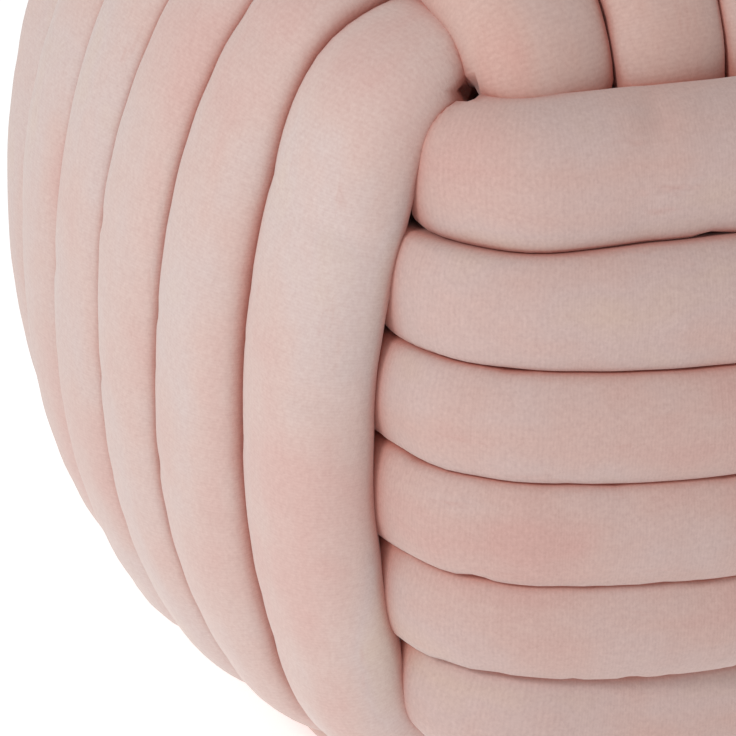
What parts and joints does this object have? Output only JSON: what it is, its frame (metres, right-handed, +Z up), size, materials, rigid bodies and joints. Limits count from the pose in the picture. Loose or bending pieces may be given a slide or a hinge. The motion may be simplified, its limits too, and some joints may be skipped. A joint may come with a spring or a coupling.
{
  "type": "knot pouf",
  "caption": "Ball-shaped floor pouf tied from a long stuffed velvet tube, in bands of parallel strands that cross over and under each other, with a small flat to stand on.",
  "frame": {"origin": "on the surface that the pouf stands on, under the middle of the ball", "axes": "+Z up; the band of level strands turns about Z, the band of upright strands on the -X and +X sides turns about Y, and the band over the top and bottom turns about X"},
  "size_m": [0.5058, 0.5062, 0.4978],
  "materials": {
    "velvet": "short-pile pale pink velvet with a soft sheen",
    "core_cloth": "matt near-black plain cloth"
  },
  "bodies": {
    "root": {"knotted_tube": "velvet", "core": "core_cloth"}
  },
  "joints": []
}
